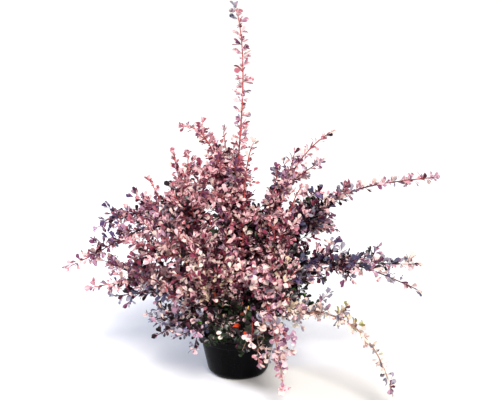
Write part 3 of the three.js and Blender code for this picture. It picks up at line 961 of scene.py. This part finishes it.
def make_pot():
    """A thin blown pot: rounded foot, straight wall and a stepped band under a rolled lip."""
    lip_radius = pot.rim_radius - lip.inset
    profile = [
        (0, 0),
        *pot_corner(0),
        *bends(pot.wall_top_radius, band_foot, under_band),
        *bends(pot.wall_top_radius + pot.band_step, band_foot, band_edge),
        (lip_radius, pot.height - lip.foot),
        *arc(lip_radius, pot.height - lip.drop, lip.radius, lip.start, lip.end, lip.steps),
        *bends(pot.rim_radius - pot.thickness, pot.height, inside_lip),
        (pot.wall_top_radius - pot.thickness, band_foot),
        *reversed(pot_corner(pot.floor)),
        (0, pot.floor),
    ]
    return mesh_object("pot_shell", *lathe(profile, pot.sides), patterned("pot_plastic", pot_plastic))


def make_soil():
    """Crumbly compost in the pot, with lumps lying on it."""
    radius = pot.wall_top_radius - pot.thickness - soil.gap
    bottom = pot.floor + soil.gap

    def surface(out):
        return soil.top - soil.edge_drop * clamp((out - soil.level_radius) / (radius - soil.level_radius))

    rings = [lerp(radius, 0, i / soil.rings) for i in range(soil.rings + 1)]
    profile = [(0, bottom), *pot_corner(bottom), (radius, band_foot), *[(out, surface(out)) for out in rings]]
    points, triangles = lathe(profile, soil.sides)
    for point in points:
        if point[2] > band_foot:
            spot = Vector(point)
            rough = noise.noise(spot / soil.coarse) + fine_part * noise.noise(spot / soil.fine)
            point[2] += soil.relief * rough - soil.sink
    gathered = Meshes()
    gathered.add(points, triangles, [])
    draws = random.Random(lumps.seed)
    side_points = arc(0, 0, 1, -lumps.side_angle, lumps.side_angle, lumps.side_steps)
    lump_points, lump_triangles = lathe([(0, -1), *side_points, (0, 1)], lumps.sides)
    for _ in range(lumps.count):
        out = radius * sqrt(draws.uniform(lumps.nearest, lumps.furthest))
        turn = draws.uniform(0, 2 * pi)
        size = draws.uniform(lumps.smallest, lumps.largest)
        stretch = np.array([draws.uniform(*ends) for ends in lumps.stretch]) * size
        centre = np.array([out * cos(turn), out * sin(turn), surface(out) - lumps.sink])
        gathered.add(lump_points * stretch + centre, lump_triangles, [])
    return mesh_object("soil_crumbs", *gathered.joined(), patterned("soil_compost", compost))


def bark_noise(angle, round_it, height):
    """Noise that runs on round a limb: a larger number makes more ridges round it."""
    return noise.noise(Vector((round_it * cos(angle), round_it * sin(angle), height)))


def make_stool(material):
    """The woody foot, with the root flare's lobes and furrows of bark."""
    base = soil.top + clearance
    dome = arc(0, dome_centre.z, stool.dome_radius, stool.dome_from, 90, stool.dome_steps)
    profile = [
        (0, base),
        (stool.flare_radius, base),
        (stool.shoulder_radius, base + stool.shoulder_height),
        (stool.waist_radius, base + stool.waist_height),
        *dome[:-1],
        (0, dome_centre.z + stool.dome_radius),
    ]
    points, triangles = lathe(profile, stool.sides)
    for point in points:
        out = hypot(point[0], point[1])
        if out == 0:
            continue
        angle = atan2(point[1], point[0])
        fade = clamp(1 - (point[2] - base) / stool.lobe_height)
        swell = 1 + fade * stool.lobe_depth * cos(stool.lobes * angle)
        ridge = bark_noise(angle, stool_bark.ridges, point[2] / stool_bark.ridge_length)
        grain = bark_noise(angle, stool_bark.grain, point[2] / stool_bark.grain_length)
        point[:2] *= swell + stool_bark.relief * (ridge + fine_part * grain) / out
    return mesh_object("stool_bark", points, triangles, material)


def make_bough(bone, material):
    """A cane's woody foot, ridged along its length, with swollen nodes."""
    line = bone.curve.line(0, bone.bough_part, bone.row.heading, bough_bark.step)
    line.points[0] = line.points[0] - line.directions[0] * bough_bark.root
    line = Line(line.points, line.directions, bone.row.heading)
    radii = []
    for mark in line.marks:
        flare = 1 + bough_bark.flare * exp(-mark / bough_bark.flare_length)
        from_node = mark % bough_bark.node_spacing - bough_bark.node_spacing / 2
        node = 1 + bough_bark.node * exp(-from_node ** 2 / bough_bark.node_width)
        radii.append(bone.radius_at(mark / line.length * bone.bough_part) * flare * node)
    limb = Meshes()
    limb.tube(line, radii, bough_bark.sides, ["bark"] * (len(line.points) - 1))
    points, triangles = limb.joined()
    for i, (mark, middle) in enumerate(zip(line.marks, line.points)):
        centre = np.array(middle)
        height = mark / bough_bark.ridge_length + len(bone.row.name)
        for j in range(bough_bark.sides):
            ridge = bark_noise(j * 2 * pi / bough_bark.sides, bough_bark.ridges, height)
            index = i * bough_bark.sides + j
            points[index] = centre + (points[index] - centre) * (1 + bough_bark.relief * ridge)
    return mesh_object(f"cane_{bone.row.name}", points, triangles, material)


def make_camera():
    data = bpy.data.cameras.new("camera")
    data.lens = camera.lens
    data.sensor_width = camera.sensor_width
    data.clip_end = camera.furthest * MM
    item = linked("camera", data)
    tilt = radians(camera.elevation)
    offset = Vector((0, -cos(tilt), sin(tilt))) * camera.distance
    item.location = (Vector(camera.target) + offset) * MM
    item.rotation_euler = (pi / 2 - tilt, 0, 0)
    bpy.context.scene.camera = item


def make_light(name, light):
    data = bpy.data.lights.new(name, light.kind)
    data.color = linear(light.colour)[:3]
    data.energy = light.strength
    if light.kind == "SUN":
        data.angle = radians(light.size)
    else:
        data.size = light.size
    item = linked(name, data)
    item.location = light.place
    item.rotation_euler = (Vector(light.aim) - Vector(light.place)).to_track_quat("-Z", "Y").to_euler()


def make_stage():
    half = floor_plane.half
    square = ((-half, -half), (half, -half), (half, half), (-half, half))
    corners = [(x, y, -floor_plane.drop) for x, y in square]
    material, _ = principled("floor_pale", floor_plane.colour, floor_plane.roughness, floor_plane.gloss)
    floor = mesh_object("floor", corners, [(0, 1, 2), (0, 2, 3)], material)
    world = bpy.context.scene.world or bpy.data.worlds.new("world")
    bpy.context.scene.world = world
    world.use_nodes = True
    sky = world.node_tree.nodes["Background"]
    sky.inputs["Color"].default_value = linear(sky_light.colour)
    sky.inputs["Strength"].default_value = sky_light.strength
    for name, light in lights.items():
        make_light(name, light)
    bpy.context.scene.view_settings.view_transform = "Standard"


def settle(item, slot, *nodes):
    """Says where a piece belongs: it rides on root, and stands for its nodes if it has any. slot is not used.
    """
    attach(item, "root")
    if nodes:
        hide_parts(*nodes)


make_camera()
make_stage()

settle(make_pot(), "pot", "pot")
settle(make_soil(), "soil", "soil")
bark_material = patterned("bark", bark)
settle(make_stool(bark_material), "bark", "stool")

box_low = np.array(cad_box[0]) / MM - leaf_margin.box
box_high = np.array(cad_box[1]) / MM + leaf_margin.box
leaf_finishes = plain_finishes("leaf", leaf_tones, leaf_surface)
stem_finishes = plain_finishes("stem", stem_tones, stem_surface)
bones = [Bone(row, cane.bough_part) for row in arching_canes] + [Bone(row, 0) for row in inner_canes]
stems = Meshes()
spines = Meshes()
for number, bone in enumerate(bones, start=1):
    growth = Growth(bone, number, stems, spines)
    growth.grow(solid_random(number))
    name = bone.row.name
    if bone.bough_part:
        settle(make_bough(bone, bark_material), "bark", f"bough_{name}")
    leaves = growth.leaves.made(f"leaves_{name}", leaf_finishes, number, box_low, box_high)
    settle(leaves, "leaves", f"foliage_{name}")
settle(stems.made("twigs", stem_finishes), "bark")
settle(spines.made("spines", stem_finishes), "bark")
